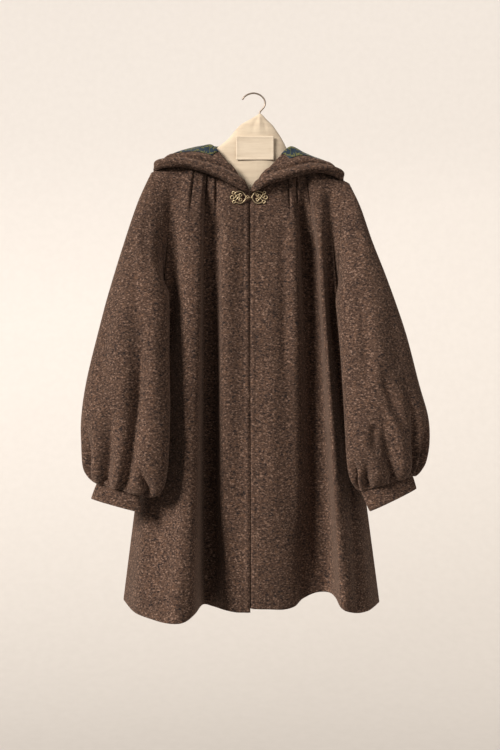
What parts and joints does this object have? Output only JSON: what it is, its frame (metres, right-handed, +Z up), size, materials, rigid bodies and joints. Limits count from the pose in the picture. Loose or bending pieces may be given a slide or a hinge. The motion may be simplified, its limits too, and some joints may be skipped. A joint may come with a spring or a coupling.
{
  "type": "hooded coat on a clothes hanger",
  "caption": "Flared hooded wool coat with balloon sleeves and a knotwork clasp at the neck, hung on a padded, cloth-covered hanger.",
  "frame": {"origin": "the inside of the hook's crown, where the hanger rests on what it hangs from", "axes": "+Z up, the coat's front faces -Y, the wearer's left side is at +X"},
  "size_m": [0.7175, 0.2294, 1.0884],
  "materials": {
    "wool": "brushed wool melange",
    "hood_lining": "printed cotton",
    "hanger_cloth": "plain calico",
    "patch_cloth": "plain woven tape",
    "clasp_metal": "antique",
    "hook_steel": "satin"
  },
  "bodies": {
    "root": {"front_right": "wool", "front_left": "wool", "back": "wool", "sleeve_right": "wool", "sleeve_left": "wool", "cuff_right": "wool", "cuff_left": "wool", "hood_right": "wool", "hood_left": "wool", "hood_facing_right": "wool", "hood_facing_left": "wool", "hood_lining_right": "hood_lining", "hood_lining_left": "hood_lining", "clasp_right": "clasp_metal", "clasp_left": "clasp_metal", "hanger_cover": "hanger_cloth", "hanger_patch": "patch_cloth", "hanger_hook": "hook_steel"}
  },
  "joints": []
}
